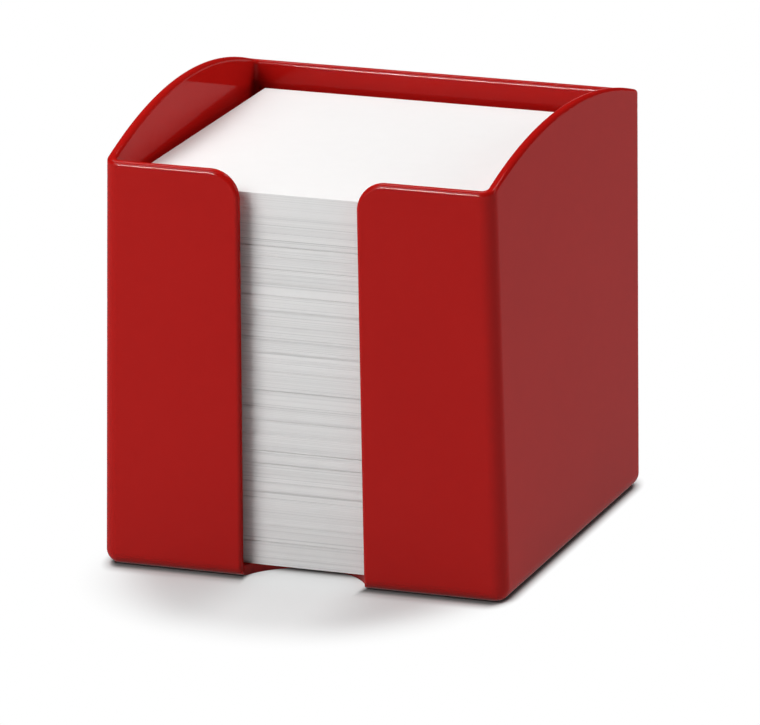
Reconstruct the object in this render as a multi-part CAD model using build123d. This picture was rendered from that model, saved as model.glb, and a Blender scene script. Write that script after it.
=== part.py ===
from build123d import *

import os
from math import sqrt

# A desk memo box: one moulded plastic box that holds a stack of loose square note sheets.
# Millimetres. X points right, Y to the back and Z up. The open slot faces the front, -Y.
# The origin is in the middle of the underside, on the desk.

# Note sheets
sheet_width = 90.0  # the sheets are square
sheet_thickness = 0.112
stack_setback = 0.4  # the stack stands this much nearer to the flaps than to the back wall
loose_shift = 0.2  # how far a handful of sheets may lie off the middle of the stack

# Room around the stack
side_clearance = 0.4  # beside it where the side walls lean in most
end_clearance = 2.8  # in front of it and behind it

# Walls, floor and rim
wall = 2.2
wall_height = 97.7  # where the side walls' arcs meet the front and the back of the box
crown_rise = 8.3  # from there to the highest point of the arcs
front_draw_in = 2.4  # how far each side wall leans in at the top of its front corner
corner_radius = 3.4
base_radius = 3.3
floor_thickness = 2.5
rim_radius = 1.0
straight_run = 4.6  # at both ends of an arc the rim runs straight for this much of the depth

# Front slot and the finger notch in the floor
slot_width = 30.2  # at the foot of the flaps
slot_corner_radius = 7.0
notch_depth = 12.5

# Sheets in each handful, from the floor up, and how far it lies off to the right and back.
# The handfuls part where the edges of the stack show a dark seam.
bundle_sheets = [51, 37, 58, 14, 21, 40, 28, 33, 33, 28, 36, 41,
                 42, 32, 24, 33, 33, 28, 29, 27, 21, 38, 36, 36]
bundle_shift_shares = [
    (0.6, -1.0), (-0.4, -0.4), (0.2, -0.8), (-0.8, 0.2), (0.4, -0.6), (-0.2, 0.4),
    (0.8, -0.2), (-0.6, -0.9), (0.1, 0.3), (-0.3, -0.5), (0.7, 0.6), (-0.9, -0.3),
    (0.3, 0.5), (-0.1, -0.7), (0.5, 0.1), (-0.7, 0.8), (0.2, -0.4), (-0.5, 0.5),
    (0.9, 0.0), (-0.2, 0.7), (0.4, 0.2), (-0.6, 0.9), (0.1, 0.6), (-0.3, 1.0),
]
top_sheet_shift_share = (0.5, 0.8)

# Tools that cut run past the surface that they open
overrun = 1.0
touching = 0.001

# Worked out from the sizes above
box_width = sheet_width + 2 * (side_clearance + front_draw_in + wall)
box_depth = sheet_width + 2 * (end_clearance + wall)
half_depth = box_depth / 2
inside_half_depth = half_depth - wall
crown_height = wall_height + crown_rise
cut_top = crown_height + overrun


def draw_in(half_width, height):
    """How far a point of the front wall leans towards the middle: more at the sides and higher up."""
    return front_draw_in * half_width / (box_width / 2) * height / wall_height


def wall_outline(inset, height):
    """Plan outline of the walls, set in from the outside, at one height above the desk.

    The front corners stand closer together the higher the outline is, so the side walls twist
    gently from upright at the back to leaning in at the front.
    """
    back_half = box_width / 2 - inset
    front_half = back_half - draw_in(box_width / 2, height)
    side = half_depth - inset
    corners = [(-front_half, -side), (front_half, -side), (back_half, side), (-back_half, side)]
    outline = Polygon(*corners, align=None)
    outline = fillet(outline.vertices(), corner_radius - inset)
    return Pos(0, 0, height) * outline


def wall_block(inset, bottom, top):
    """Solid block whose sides follow the wall outline between two heights."""
    return loft([wall_outline(inset, bottom), wall_outline(inset, top)], ruled=True)


def arc_end():
    """Depth, height and slope of the place where the side walls' arc runs out into the straight."""
    radius = (half_depth**2 + crown_rise**2) / (2 * crown_rise)
    depth = half_depth - straight_run
    above_centre = sqrt(radius**2 - depth**2)
    return depth, crown_height - radius + above_centre, depth / above_centre


def space_above_rim():
    """Everything above the rim, seen from the side: one long arc with straight ends."""
    end, end_height, slope = arc_end()
    reach = half_depth + overrun
    reach_height = end_height - (reach - end) * slope
    top = cut_top + overrun
    straight_parts = Polyline(
        (-end, end_height),
        (-reach, reach_height),
        (-reach, top),
        (reach, top),
        (reach, reach_height),
        (end, end_height),
    )
    arc = ThreePointArc((end, end_height), (0, crown_height), (-end, end_height))
    profile = make_face(straight_parts + arc)
    return extrude(Plane.YZ * profile, amount=box_width / 2 + overrun, both=True)


def front_slot():
    """The slot between the flaps, which narrows upwards, with their rounded upper corners.

    Its outline is drawn a little inside the front wall and pushed forward along the slope of
    the rim, so that the rounded corners run out smoothly into the tops of the flaps.
    """
    end, end_height, slope = arc_end()
    start = inside_half_depth - overrun
    flap_top = end_height - (start - end) * slope
    foot_half = slot_width / 2 + draw_in(slot_width / 2, overrun)
    top_half = slot_width / 2 - draw_in(slot_width / 2, flap_top)
    sky_half = box_width / 2 + overrun
    view = Polygon(
        (-foot_half, -overrun),
        (foot_half, -overrun),
        (top_half, flap_top),
        (sky_half, flap_top),
        (sky_half, cut_top),
        (-sky_half, cut_top),
        (-sky_half, flap_top),
        (-top_half, flap_top),
        align=None,
    )
    near_slot = view.vertices().filter_by_position(Axis.X, -slot_width / 2, slot_width / 2)
    flap_corners = near_slot.filter_by_position(Axis.Y, wall_height / 2, cut_top)
    view = fillet(flap_corners, slot_corner_radius)
    forward = (wall + 2 * overrun) * sqrt(1 + slope**2)
    return extrude(Plane.XZ.offset(start) * view, amount=forward, dir=(0, -1, -slope))


def floor_notch():
    """Finger notch in the floor: an arc that starts at the inner edges of the slot."""
    half = slot_width / 2
    lip = -inside_half_depth
    sides = Polyline((-half, lip), (-half, lip - wall), (half, lip - wall), (half, lip))
    arc = ThreePointArc((half, lip), (0, notch_depth - half_depth), (-half, lip))
    view = make_face(sides + arc)
    return extrude(Pos(0, 0, -overrun) * view, amount=floor_thickness + 2 * overrun)


def lies_on(point, solid):
    """True where a point is on the skin of a solid."""
    return any(face.distance_to(point) < touching for face in solid.faces())


def outer_block():
    """The outside of the box as a solid block, with its lower edges rounded."""
    block = wall_block(0, 0, cut_top)
    return fillet(block.edges().group_by(Axis.Z)[0], base_radius)


def rounded_walls():
    """The four walls as a sleeve without a floor, with the whole rim rounded over."""
    outside = outer_block()
    inside = wall_block(wall, -overrun, cut_top + overrun)
    opening = space_above_rim() + front_slot()
    sleeve = outside - inside - opening
    rim = []
    for edge in sleeve.edges():
        middle = edge @ 0.5
        on_wall = lies_on(middle, outside) or lies_on(middle, inside)
        if on_wall and lies_on(middle, opening):
            rim.append(edge)
    return fillet(rim, rim_radius)


def floor_plate():
    """The floor, bedded half way into the walls and cut back by the finger notch."""
    plate = wall_block(wall / 2, 0, floor_thickness) & outer_block()
    return plate - floor_notch()


def memo_box():
    """The moulded box in one piece: the walls with their rounded rim, and the floor."""
    return floor_plate() + rounded_walls()


def sheet_block(sheets, first_sheet, shift_share):
    """A handful of sheets lying flat on each other as one block, slightly off the middle."""
    thickness = sheets * sheet_thickness
    right, back = [share * loose_shift for share in shift_share]
    base = floor_thickness + first_sheet * sheet_thickness
    block = Box(sheet_width, sheet_width, thickness)
    return Pos(right, back - stack_setback, base + thickness / 2) * block


def build_parts():
    """Every piece by its name: the box, the handfuls of sheets and the sheet on top."""
    parts = {"memo_box": memo_box()}
    laid = 0
    for number, sheets in enumerate(bundle_sheets, start=1):
        shift_share = bundle_shift_shares[number - 1]
        parts[f"sheet_bundle_{number:02d}"] = sheet_block(sheets, laid, shift_share)
        laid += sheets
    parts["top_sheet"] = sheet_block(1, laid, top_sheet_shift_share)
    return parts


def main():
    os.makedirs("parts", exist_ok=True)
    parts = build_parts()
    for name, solid in parts.items():
        solid.label = name
        export_step(solid, f"parts/{name}.step")
    print(f"{len(parts)} pieces, {sum(bundle_sheets) + 1} sheets of paper")


main()
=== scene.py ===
# %% [markdown]
# # A red memo box full of note paper
#
# This lesson dresses a small desk object: one glossy red moulded box with a full-height slot
# in its front, and about eight hundred loose square note sheets inside it. The box itself
# comes ready from the CAD model. What makes it look real is the edge of the paper, the way
# the plastic catches the light along its rounded rim, and a soft, bright studio.
#
# Everything is in metres. X points right, Y to the back and Z up, and the origin is in the
# middle of the underside of the box.

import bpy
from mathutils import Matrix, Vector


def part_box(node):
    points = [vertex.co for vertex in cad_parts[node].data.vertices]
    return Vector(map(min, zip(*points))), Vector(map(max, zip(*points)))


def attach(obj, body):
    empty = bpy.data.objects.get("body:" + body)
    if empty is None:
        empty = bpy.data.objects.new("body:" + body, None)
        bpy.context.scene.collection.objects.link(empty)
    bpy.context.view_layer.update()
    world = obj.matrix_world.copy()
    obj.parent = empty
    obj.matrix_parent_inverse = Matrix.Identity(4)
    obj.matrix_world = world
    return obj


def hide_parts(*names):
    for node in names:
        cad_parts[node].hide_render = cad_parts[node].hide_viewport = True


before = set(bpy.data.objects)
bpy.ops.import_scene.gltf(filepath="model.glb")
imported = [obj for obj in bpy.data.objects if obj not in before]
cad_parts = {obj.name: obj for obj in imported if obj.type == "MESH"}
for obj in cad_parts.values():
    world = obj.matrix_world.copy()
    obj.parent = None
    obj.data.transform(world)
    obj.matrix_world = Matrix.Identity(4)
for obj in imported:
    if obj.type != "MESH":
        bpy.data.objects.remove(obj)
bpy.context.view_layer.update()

import math

import bpy
import numpy as np
from mathutils import Quaternion, Vector

MM = 0.001
sheet_nodes = sorted(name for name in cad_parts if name.startswith("sheet_bundle"))
print(f"{len(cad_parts)} CAD nodes, {len(sheet_nodes)} of them handfuls of sheets")

# %% [markdown]
# ## A helper that turns numpy arrays into a mesh
#
# Blender can take a whole mesh at once from lists of corners and faces. Filling it from
# arrays is far quicker than adding vertices one by one, and it keeps the shape's formula
# apart from the bookkeeping.

# %% Make an object from arrays
def mesh_from_arrays(name, corners, faces, material):
    """Puts corner positions and a face list into a new object that sits at the origin."""
    mesh = bpy.data.meshes.new(name)
    mesh.from_pydata(corners.tolist(), [], faces)
    mesh.update()
    mesh.materials.append(material)
    piece = bpy.data.objects.new(name, mesh)
    bpy.context.scene.collection.objects.link(piece)
    return piece


# %% [markdown]
# ## Unevenness that plastic and paper share
#
# No real surface is perfectly even. Moulded plastic has a faint ripple like the skin of an
# orange, and paper has a fibrous tooth. Both are noise at two sizes, so one node group
# serves them. Its inputs set how coarse the pattern is and how much the fine part counts.

# %% Node group: two sizes of noise mixed into one value
def new_socket(group, name, kind, direction, default=None):
    """Adds one named socket to a node group, with its default where it has one."""
    socket = group.interface.new_socket(name=name, in_out=direction, socket_type=kind)
    if default is not None:
        socket.default_value = default
    return socket


def build_unevenness():
    """Value = coarse noise * (1 - Fine Share) + fine noise * Fine Share, from 0 to 1."""
    group = bpy.data.node_groups.new("unevenness", "ShaderNodeTree")
    new_socket(group, "Vector", "NodeSocketVector", "INPUT")
    new_socket(group, "Coarse Scale", "NodeSocketFloat", "INPUT", 40.0)
    new_socket(group, "Fine Scale", "NodeSocketFloat", "INPUT", 900.0)
    new_socket(group, "Fine Share", "NodeSocketFloat", "INPUT", 0.5)
    new_socket(group, "Value", "NodeSocketFloat", "OUTPUT")
    nodes, links = group.nodes, group.links
    inputs, outputs = nodes.new("NodeGroupInput"), nodes.new("NodeGroupOutput")
    coarse, fine = nodes.new("ShaderNodeTexNoise"), nodes.new("ShaderNodeTexNoise")
    mix = nodes.new("ShaderNodeMix")
    for noise, scale in ((coarse, "Coarse Scale"), (fine, "Fine Scale")):
        noise.inputs["Detail"].default_value = 3.0
        links.new(inputs.outputs["Vector"], noise.inputs["Vector"])
        links.new(inputs.outputs[scale], noise.inputs["Scale"])
    links.new(inputs.outputs["Fine Share"], mix.inputs[0])
    links.new(coarse.outputs["Fac"], mix.inputs[2])
    links.new(fine.outputs["Fac"], mix.inputs[3])
    links.new(mix.outputs[0], outputs.inputs["Value"])
    return group


unevenness = build_unevenness()

# %% [markdown]
# ## Helpers for materials
#
# A material is a small graph. These helpers start one with a Principled shader, place the
# shared group in it, and stretch a value into a range, so that each finish below reads as a
# short recipe.

# %% Start a material, place the group, spread a value over a range
NOISE_LOW, NOISE_HIGH = 0.3, 0.7


def start_material(name):
    """A new material with its Principled shader and the object's own coordinates."""
    material = bpy.data.materials.new(name)
    material.use_nodes = True
    shader = material.node_tree.nodes["Principled BSDF"]
    place = material.node_tree.nodes.new("ShaderNodeTexCoord").outputs["Object"]
    return material, shader, place


def uneven(material, place, coarse, fine, fine_share):
    """The shared unevenness with this finish's own sizes, given per metre."""
    node = material.node_tree.nodes.new("ShaderNodeGroup")
    node.node_tree = unevenness
    node.inputs["Coarse Scale"].default_value = coarse
    node.inputs["Fine Scale"].default_value = fine
    node.inputs["Fine Share"].default_value = fine_share
    material.node_tree.links.new(place, node.inputs["Vector"])
    return node.outputs["Value"]


def spread(material, value, low, high):
    """Maps the range in which noise mostly lies onto low..high."""
    node = material.node_tree.nodes.new("ShaderNodeMapRange")
    node.inputs["From Min"].default_value = NOISE_LOW
    node.inputs["From Max"].default_value = NOISE_HIGH
    node.inputs["To Min"].default_value = low
    node.inputs["To Max"].default_value = high
    material.node_tree.links.new(value, node.inputs["Value"])
    return node.outputs["Result"]


def blend_colours(material, value, first, second):
    """A colour between first and second, as value goes from 0 to 1."""
    node = material.node_tree.nodes.new("ShaderNodeMix")
    node.data_type = "RGBA"
    node.inputs[6].default_value = (*first, 1.0)
    node.inputs[7].default_value = (*second, 1.0)
    material.node_tree.links.new(value, node.inputs[0])
    return node.outputs[2]


def add_bump(material, shader, height, depth):
    """Tilts the shading as if the surface rose and fell by depth, in metres."""
    bump = material.node_tree.nodes.new("ShaderNodeBump")
    bump.inputs["Distance"].default_value = depth
    material.node_tree.links.new(height, bump.inputs["Height"])
    material.node_tree.links.new(bump.outputs["Normal"], shader.inputs["Normal"])


# %% [markdown]
# ## The red plastic
#
# The box is injection-moulded in a deep warm red. Its skin is smooth, so small bright lamps
# draw thin lines along the rounded rim, while its flat walls stay saturated. The gloss is
# made with the coat layer of the Principled shader, because its weight sets how strong
# the reflections are at every angle, and the base under it stays plain and matt.

# %% Finish: moulded red plastic
DEEP_RED, LIGHT_RED = (0.450, 0.0070, 0.0055), (0.470, 0.0085, 0.0065)
RIPPLE_DEPTH = 0.002 * MM


def red_plastic_finish():
    """Matt red base that varies a little from place to place, under a thin clear gloss."""
    material, shader, place = start_material("moulded_red_plastic")
    links = material.node_tree.links
    cloudy = uneven(material, place, coarse=35.0, fine=260.0, fine_share=0.35)
    ripple = uneven(material, place, coarse=420.0, fine=1500.0, fine_share=0.3)
    tone = spread(material, cloudy, low=0.0, high=1.0)
    red = blend_colours(material, tone, DEEP_RED, LIGHT_RED)
    links.new(red, shader.inputs["Base Color"])
    links.new(spread(material, cloudy, low=0.42, high=0.50), shader.inputs["Roughness"])
    shader.inputs["Specular IOR Level"].default_value = 0.0
    shader.inputs["Coat Weight"].default_value = 0.18
    shader.inputs["Coat Roughness"].default_value = 0.05
    add_bump(material, shader, ripple, RIPPLE_DEPTH)
    return material


red_plastic = red_plastic_finish()
box_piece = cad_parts["memo_box"]
box_piece.data.materials[0] = red_plastic
print("memo_box wears", box_piece.data.materials[0].name)

# %% [markdown]
# ## The paper
#
# Uncoated note paper is a warm white with no shine. Seen from above it is almost blank. On
# the cut edges each sheet has its own tone, because some were cut a little rougher, and the
# uppermost sheet of each handful is darkened with painted shade where the seam lies deeper.
# The sheets carry that tone and painted shade as an attribute and the material reads it.

# %% Finish: note paper
WARM_WHITE, BRIGHT_WHITE = (0.905, 0.895, 0.890), (0.925, 0.916, 0.912)
TOOTH_DEPTH = 0.006 * MM


def paper_finish(name, shows_edges):
    """Matt fibrous white, multiplied by each sheet's own tone where the cut edges show;
    that tone also holds the painted shade of the seams.
    """
    material, shader, place = start_material(name)
    nodes, links = material.node_tree.nodes, material.node_tree.links
    fibres = uneven(material, place, coarse=300.0, fine=4200.0, fine_share=0.6)
    fleck = spread(material, fibres, low=0.0, high=1.0)
    white = blend_colours(material, fleck, WARM_WHITE, BRIGHT_WHITE)
    if shows_edges:
        tone, multiply = nodes.new("ShaderNodeAttribute"), nodes.new("ShaderNodeMix")
        tone.attribute_name = "edge_tone_and_seam_shade"
        multiply.data_type, multiply.blend_type = "RGBA", "MULTIPLY"
        multiply.inputs[0].default_value = 1.0
        links.new(white, multiply.inputs[6])
        links.new(tone.outputs["Color"], multiply.inputs[7])
        white = multiply.outputs[2]
    links.new(white, shader.inputs["Base Color"])
    links.new(spread(material, fibres, low=0.80, high=0.92), shader.inputs["Roughness"])
    shader.inputs["Specular IOR Level"].default_value = 0.15
    add_bump(material, shader, fibres, TOOTH_DEPTH)
    return material


paper_face = paper_finish("note_paper", False)
paper_edges = paper_finish("note_paper_cut_edges", True)

# %% [markdown]
# ## Eight hundred sheets
#
# A stack of paper drawn as one block with lines on it looks flat from close by. Here every
# sheet is its own thin closed slab, made a handful at a time. Sheets that were put in
# together lie in short runs that share a setback, each sheet adds a little of its own, and
# the two uppermost sheets of a handful lie deeper, which leaves the dark seam between two
# handfuls; the uppermost sheet's edge is also darkened there with painted shade. Some seams
# are deep and some can hardly be seen, so each has its own share, which sets both the
# setback and the painted shade. The whole stack has slid a little to the right in the box
# and lies slightly turned.

# %% Sizes of the stack
SHEET_PITCH = 0.112 * MM
SLAB_SHARE = 0.97  # of the pitch is paper, the rest is air
STACK_SLIDE = (0.35 * MM, 0.0)
STACK_TURN = math.radians(-0.35)
LEFT_SETBACK = 0.25 * MM
LONG_RUNS = (3, 11, 0.055 * MM)  # fewest and most sheets in a run, and its setback
SHORT_RUNS = (1, 4, 0.030 * MM)
SHEET_JITTER = 0.012 * MM
TOP_SETBACK, SECOND_SETBACK = 0.42 * MM, 0.20 * MM  # of a handful's uppermost two sheets
SEAM_SPREAD = (0.7, 1.1)  # how unevenly the four sides of a handful share a seam
SEAM_SHARES = [1.0, 0.3, 0.5, 0.5, 0.5, 0.8, 1.0, 0.1, 0.5, 0.4, 0.4, 0.4,
               0.3, 0.5, 0.5, 0.1, 0.7, 0.15, 0.8, 0.3, 1.0, 0.1, 0.1, 0.0]

# %% Tones of the cut edges
PLAIN_TONE, TONE_JITTER, DARKEST_TONE = 0.955, 0.040, 0.45
TONE_RUNS = (4, 14, 0.030)
ROUGH_SHARE, ROUGH_DROP = 0.03, 0.16
WHITE_RUN = (67.9 * MM, 69.6 * MM)  # heights between which the sheets are whiter
# Painted shade: the uppermost sheet of a handful is darkened by this much times its seam share.
PAINTED_SEAM_SHADE = 0.45

# %% The outline that every sheet follows
POINTS_A_SIDE = 10


def square_outline(points_a_side):
    """Points from corner to corner round a square that reaches from -1 to 1.

    Side s runs from one corner to the next, so a point is corner + share * (next - corner).
    """
    corners = np.array([(-1, -1), (1, -1), (1, 1), (-1, 1)], float)
    share = np.arange(points_a_side) / points_a_side
    nexts = np.roll(corners, -1, axis=0)
    walk = corners[:, None] + share[None, :, None] * (nexts - corners)[:, None]
    return walk.reshape(-1, 2)


OUTLINE = square_outline(POINTS_A_SIDE)


# %% How far each sheet sticks out or lies back
dice = np.random.default_rng(11)


def run_values(sheets, shortest, longest, size):
    """One random value for each sheet that stays the same over short runs of sheets."""
    lengths = dice.integers(shortest, longest + 1, sheets)
    values = dice.uniform(-size, size, sheets)
    return np.repeat(values, lengths)[:sheets]


def side_setbacks(sheets, seam_share):
    """Setback of each of the four sides of every sheet: runs + own jitter + seam."""
    back = np.stack([run_values(sheets, *LONG_RUNS) for _ in range(4)], axis=1)
    back += np.stack([run_values(sheets, *SHORT_RUNS) for _ in range(4)], axis=1)
    back += dice.normal(0.0, SHEET_JITTER, (sheets, 4))
    back[:, 3] += LEFT_SETBACK
    seam = np.zeros(sheets)
    seam[-1] = TOP_SETBACK * seam_share
    seam[-2:-1] = SECOND_SETBACK * seam_share
    return back + seam[:, None] * dice.uniform(*SEAM_SPREAD, (1, 4))


def slide_and_turn(plan):
    """Turns plan points about the middle of the box by STACK_TURN and slides them."""
    cos, sin = math.cos(STACK_TURN), math.sin(STACK_TURN)
    x, y = plan[..., 0], plan[..., 1]
    return np.stack([x * cos - y * sin, x * sin + y * cos], axis=-1) + STACK_SLIDE


def sheet_tones(bottom, seam_share):
    """How light each cut edge is: runs + own jitter, a few rough dark ones, a white run,
    and painted shade on the uppermost sheet for the seam above it.
    """
    sheets = len(bottom)
    tone = PLAIN_TONE + run_values(sheets, *TONE_RUNS) + dice.normal(0.0, TONE_JITTER, sheets)
    tone[dice.random(sheets) < ROUGH_SHARE] -= ROUGH_DROP
    tone[(bottom > WHITE_RUN[0]) & (bottom < WHITE_RUN[1])] = 1.0
    # Painted shade on the uppermost sheet, for the shade in the seam above it.
    tone[-1] = 1.0 - PAINTED_SEAM_SHADE * seam_share
    return np.clip(tone, DARKEST_TONE, 1.0)


# %% Build one handful
def sheet_plans(low, high, back):
    """Point k of sheet i lies at outline * (half side - setback of its side), in plan."""
    middle, half = (low + high)[:2] / 2, (high - low)[:2] / 2
    xs = half[0] - np.where(OUTLINE[:, 0] > 0, back[:, 1:2], back[:, 3:4])
    ys = half[1] - np.where(OUTLINE[:, 1] > 0, back[:, 2:3], back[:, 0:1])
    return slide_and_turn(np.stack([OUTLINE[:, 0] * xs, OUTLINE[:, 1] * ys], axis=2) + middle)


def slab_faces(sheets, around):
    """Faces of closed slabs: a ring of sides, an underside and a top for each sheet."""
    lower = np.arange(around)
    after = (lower + 1) % around
    sides = np.stack([lower, after, after + around, lower + around], axis=1)
    faces = []
    for start in np.arange(sheets) * 2 * around:
        faces += (sides + start).tolist()
        faces += [(lower[::-1] + start).tolist(), (lower + around + start).tolist()]
    return faces


def handful(name, node, body, seam_share, material):
    """Lays the sheets of one CAD node: sheet i stands i pitches above the node's underside."""
    low, high = (np.array(corner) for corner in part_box(node))
    sheets = max(1, round((high[2] - low[2]) / SHEET_PITCH))
    around = len(OUTLINE)
    bottom = low[2] + np.arange(sheets) * (high[2] - low[2]) / sheets
    corners = np.zeros((sheets, 2, around, 3))
    corners[..., :2] = sheet_plans(low, high, side_setbacks(sheets, seam_share))[:, None]
    corners[:, 0, :, 2] = bottom[:, None]
    corners[:, 1, :, 2] = bottom[:, None] + SHEET_PITCH * SLAB_SHARE
    piece = mesh_from_arrays(name, corners.reshape(-1, 3), slab_faces(sheets, around), material)
    # The edge colours hold random tone and the painted seam shade.
    colours = np.ones((sheets, 2 * around, 4))
    colours[..., :3] = sheet_tones(bottom, seam_share)[:, None, None]
    attribute = piece.data.attributes.new("edge_tone_and_seam_shade", "FLOAT_COLOR", "POINT")
    attribute.data.foreach_set("color", colours.ravel())
    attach(piece, body)
    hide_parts(node)
    return sheets


laid = 0
for node, share in zip(sheet_nodes, SEAM_SHARES):
    name = node.replace("sheet_bundle", "note_sheets")
    laid += handful(name, node, "stack", share, paper_edges)
laid += handful("uppermost_sheet", "top_sheet", "sheet", 0.0, paper_face)
print(f"{laid} sheets in {len(sheet_nodes)} handfuls and one on top")

# %% [markdown]
# ## The table top
#
# The object stands on a plain white surface that runs on without a horizon. Near the box the
# surface is really lit, and in a round patch in front it is partly so, which is where the
# soft shadow falls; the patch's round edge is a painted shadow edge, and in and in front of
# the slot more white is painted in, as painted light. A painted contact shadow darkens the
# floor's colour in a narrow line along the box's foot. Further out it turns to even white
# for the camera and for reflections, as a paper sweep does in a studio, and next to the box
# reflections see it whiter than it is, a painted reflection along the box's foot.

# %% Arithmetic on values and vectors in a material
def new_math(material, operation, *values):
    """A math node whose inputs are numbers or the outputs of other nodes."""
    node = material.node_tree.nodes.new("ShaderNodeMath")
    node.operation = operation
    for socket, value in zip(node.inputs, values):
        if isinstance(value, (int, float)):
            socket.default_value = value
        else:
            material.node_tree.links.new(value, socket)
    return node.outputs[0]


def vector_step(material, operation, value, other=None):
    """A vector math node on one vector, with a constant as its second input."""
    node = material.node_tree.nodes.new("ShaderNodeVectorMath")
    node.operation = operation
    material.node_tree.links.new(value, node.inputs[0])
    if other is not None:
        node.inputs[1].default_value = other
    return node.outputs["Value" if operation == "LENGTH" else "Vector"]


def smooth_rise(material, value, start, end):
    """0 below start, 1 above end and an S-shaped rise between them."""
    node = material.node_tree.nodes.new("ShaderNodeMapRange")
    node.interpolation_type = "SMOOTHSTEP"
    node.inputs["From Min"].default_value = start
    node.inputs["From Max"].default_value = end
    material.node_tree.links.new(value, node.inputs["Value"])
    return node.outputs["Result"]


# %% Sizes, shares and colours of the floor
FOOT_HALF_SIDES, FOOT_ROUNDING = (0.0457, 0.043, 0.043), 0.006
FOOT_STRETCH = (2.0, 1.0, 1.0)
# The contact line is a painted contact shadow: the floor's colour turns grey there.
CONTACT_SHADOW_LINE = (0.0, 0.003)  # pairs like this are where a rise starts and ends, in metres
NEAR_BOX = (0.0005, 0.0065)
# The patch's round edge is a painted shadow edge; inside it the real shadow is washed with
# painted white.
PATCH_MIDDLE, PATCH_EDGE = (-0.002, -0.045, 0.0), (0.030, 0.054)
# In the slot the painted contact shadow is left out and painted light shows; behind the slot's
# back edge, under the pad, the painted shade comes back as a dark line.
SLOT_SIDE, SLOT_BACK = (0.0135, 0.0155), (-0.043, -0.039)
SLOT_PAINTED_LIGHT = (0.006, 0.024)
# Painted light: the white share in front of the slot, less by the drop before the flaps; and the
# least white share in reflections, a painted reflection.
WHITE_AT_SLOT, WHITE_DROP, PAINTED_REFLECTION_WHITE = 0.56, 0.24, 0.75
# A painted contact shadow grey for the line at the box's foot, and the floor's own pale grey.
PAINTED_CONTACT_SHADOW, PALE_GREY = (0.20, 0.22, 0.22), (0.67, 0.70, 0.70)
FLOOR_REACH, FLOOR_DROP = 12.0, 0.02 * MM


# %% Where on the floor a point lies
def gap_to_footprint(material, place):
    """Distance to the footprint of the box, a square with rounded corners.

    It is |max(|p| - half sides, 0) * stretch| - rounding. The stretch makes it count double
    beside the side walls, because lamps reach close under the edge there, and so it narrows
    the painted contact shadow there.
    """
    beyond = vector_step(material, "ABSOLUTE", place)
    beyond = vector_step(material, "SUBTRACT", beyond, FOOT_HALF_SIDES)
    beyond = vector_step(material, "MAXIMUM", beyond, (0.0, 0.0, 0.0))
    beyond = vector_step(material, "MULTIPLY", beyond, FOOT_STRETCH)
    distance = vector_step(material, "LENGTH", beyond)
    return new_math(material, "SUBTRACT", distance, FOOT_ROUNDING)


def slot_masks(material, place):
    """1 inside the slot and 0 outside it, and a rise from 0 at its middle line to 1 aside.

    They place the painted light in and in front of the slot.
    """
    axes = material.node_tree.nodes.new("ShaderNodeSeparateXYZ")
    material.node_tree.links.new(place, axes.inputs[0])
    sideways = new_math(material, "ABSOLUTE", axes.outputs["X"])
    beside = smooth_rise(material, sideways, *SLOT_SIDE)
    behind = smooth_rise(material, axes.outputs["Y"], *SLOT_BACK)
    outside = new_math(material, "MAXIMUM", beside, behind)
    in_slot = new_math(material, "SUBTRACT", 1.0, outside)
    return in_slot, smooth_rise(material, sideways, *SLOT_PAINTED_LIGHT)


# %% How much of the floor is plain white
def white_share(material, place, gap, in_slot, from_slot):
    """Share = rise(gap) * (plateau + (1 - plateau) * rise(distance to the patch's middle)).

    The plateau is higher in front of the slot, which lets more light through than the flaps;
    this plateau is painted light, and the patch's round edge is a painted shadow edge.
    """
    to_middle = vector_step(material, "SUBTRACT", place, PATCH_MIDDLE)
    outer = smooth_rise(material, vector_step(material, "LENGTH", to_middle), *PATCH_EDGE)
    plateau = new_math(material, "MULTIPLY_ADD", from_slot, -WHITE_DROP, WHITE_AT_SLOT)
    left_over = new_math(material, "SUBTRACT", 1.0, plateau)
    share = new_math(material, "MULTIPLY_ADD", outer, left_over, plateau)
    near = new_math(material, "MAXIMUM", smooth_rise(material, gap, *NEAR_BOX), in_slot)
    return new_math(material, "MULTIPLY", share, near)


def seen_share(material, share):
    """The share for camera, glossy and transmission rays, and a least share in reflections;
    that least share is a painted reflection, whiter than the floor next to the box.
    """
    rays = material.node_tree.nodes.new("ShaderNodeLightPath").outputs
    # Painted reflection: reflections see the floor at least this white, even next to the box.
    painted_reflection = new_math(material, "MULTIPLY", rays["Is Glossy Ray"], PAINTED_REFLECTION_WHITE)
    share = new_math(material, "MAXIMUM", share, painted_reflection)
    seen = new_math(material, "MAXIMUM", rays["Is Camera Ray"], rays["Is Glossy Ray"])
    seen = new_math(material, "MAXIMUM", seen, rays["Is Transmission Ray"])
    return new_math(material, "MULTIPLY", share, seen)


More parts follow.
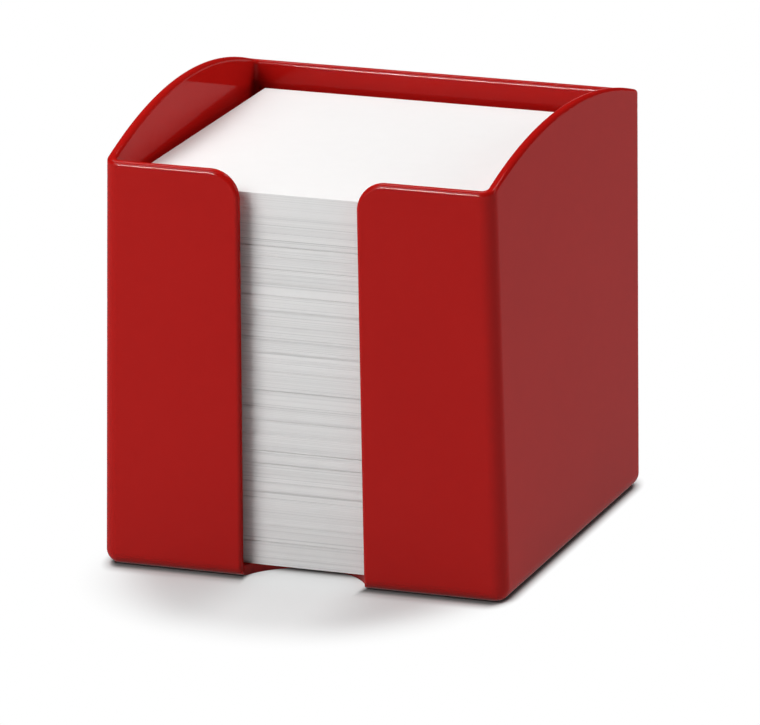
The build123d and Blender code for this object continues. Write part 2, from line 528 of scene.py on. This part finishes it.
# %% Finish: pale sweep with painted shadow, painted light and a painted reflection
def floor_with_painted_light_and_shade():
    """Lit beside the box and in the shadow's patch, plain white beyond.

    A painted contact shadow makes the colour deeper in the narrow line where the box meets
    the table, but not in the slot, where light comes in.
    """
    material, shader, place = start_material("pale_sweep")
    nodes, links = material.node_tree.nodes, material.node_tree.links
    shader.inputs["Roughness"].default_value = 0.7
    shader.inputs["Specular IOR Level"].default_value = 0.1
    gap = gap_to_footprint(material, place)
    in_slot, from_slot = slot_masks(material, place)
    # Painted contact shadow: the base colour turns grey near the box's foot, but not in the slot.
    lit = new_math(material, "MAXIMUM", smooth_rise(material, gap, *CONTACT_SHADOW_LINE), in_slot)
    links.new(blend_colours(material, lit, PAINTED_CONTACT_SHADOW, PALE_GREY), shader.inputs["Base Color"])
    share = white_share(material, place, gap, in_slot, from_slot)
    white, mix = nodes.new("ShaderNodeEmission"), nodes.new("ShaderNodeMixShader")
    links.new(seen_share(material, share), mix.inputs["Fac"])
    links.new(shader.outputs["BSDF"], mix.inputs[1])
    links.new(white.outputs["Emission"], mix.inputs[2])
    links.new(mix.outputs["Shader"], nodes["Material Output"].inputs["Surface"])
    return material


floor_corners = np.array([(-1, -1, 0), (1, -1, 0), (1, 1, 0), (-1, 1, 0)]) * FLOOR_REACH
floor_corners[:, 2] = -FLOOR_DROP
floor = mesh_from_arrays("floor", floor_corners, [(0, 1, 2, 3)], floor_with_painted_light_and_shade())

# %% [markdown]
# ## Light
#
# Two softboxes at the front left light the flaps and the edge of the paper. Two lamps
# high above and behind make the paper the brightest thing and let a short soft shadow fall
# forward, and one at the right lifts the side wall. A narrow strip in front is seen only in
# reflections: it draws the thin light line along the rounded rim of the flaps.

# %% Room and lamps
def set_room(level):
    """An even grey room of this brightness all round."""
    world = bpy.data.worlds.new("studio_room")
    world.use_nodes = True
    world.node_tree.nodes["Background"].inputs["Color"].default_value = (level, level, level, 1.0)
    bpy.context.scene.world = world


def softbox(name, place, width, height, watts):
    """A rectangular lamp at place that faces the middle of the box."""
    data = bpy.data.lights.new(name, "AREA")
    data.shape, data.size, data.size_y, data.energy = "RECTANGLE", width, height, watts
    lamp = bpy.data.objects.new(name, data)
    lamp.location = place
    lamp.rotation_mode = "QUATERNION"
    towards_box = Vector(BOX_MIDDLE) - Vector(place)
    lamp.rotation_quaternion = towards_box.to_track_quat("-Z", "Y")
    lamp.visible_camera = False
    bpy.context.scene.collection.objects.link(lamp)
    return lamp


ROOM_LEVEL = 0.02
BOX_MIDDLE = (0.0, 0.0, 0.05)
SOFTBOXES = [  # name, place, width and height in metres, power in watts
    ("softbox_front_left", (-0.27, -0.44, 0.52), 0.33, 0.33, 2.45),
    ("softbox_low_left", (-0.36, -0.70, 0.25), 0.4, 0.4, 0.90),
    ("softbox_above_left", (-0.55, 0.40, 1.35), 0.6, 0.6, 7.6),
    ("softbox_back_right", (0.57, 0.71, 1.40), 0.5, 0.5, 9.3),
    ("softbox_right", (1.50, 0.60, 0.60), 0.7, 0.9, 6.2),
    ("strip_in_front", (-0.53, -1.45, 0.38), 0.22, 0.42, 22.0),
]
set_room(ROOM_LEVEL)
lamps = {lamp[0]: softbox(*lamp) for lamp in SOFTBOXES}
lamps["strip_in_front"].visible_diffuse = False
print(len(lamps), "lamps, all facing the middle of the box")

# %% [markdown]
# ## Camera
#
# The photograph was taken with a long lens from the front right, a little above the rim. The
# place, the aim and the slight tilt are the ones that bring the box's edges onto the
# photograph's edges.

# %% Camera
def set_camera(place, aim, tilt_degrees, lens_mm):
    """A camera at place that looks at aim, turned about its own axis by the tilt."""
    data = bpy.data.cameras.new("product_camera")
    data.sensor_width, data.lens = 36.0, lens_mm
    data.clip_start, data.clip_end = 0.1, 60.0
    camera = bpy.data.objects.new("product_camera", data)
    turn = (Vector(aim) - Vector(place)).to_track_quat("-Z", "Y")
    camera.location = place
    camera.rotation_mode = "QUATERNION"
    camera.rotation_quaternion = turn @ Quaternion((0, 0, 1), math.radians(tilt_degrees))
    bpy.context.scene.collection.objects.link(camera)
    bpy.context.scene.camera = camera


CAMERA_PLACE, CAMERA_AIM = (0.639335, -1.719788, 0.582918), (0.002478, -0.002932, 0.040803)
set_camera(CAMERA_PLACE, CAMERA_AIM, tilt_degrees=-0.680, lens_mm=383.645)

# %% Picture settings and the end
bpy.context.scene.view_settings.view_transform = "Standard"
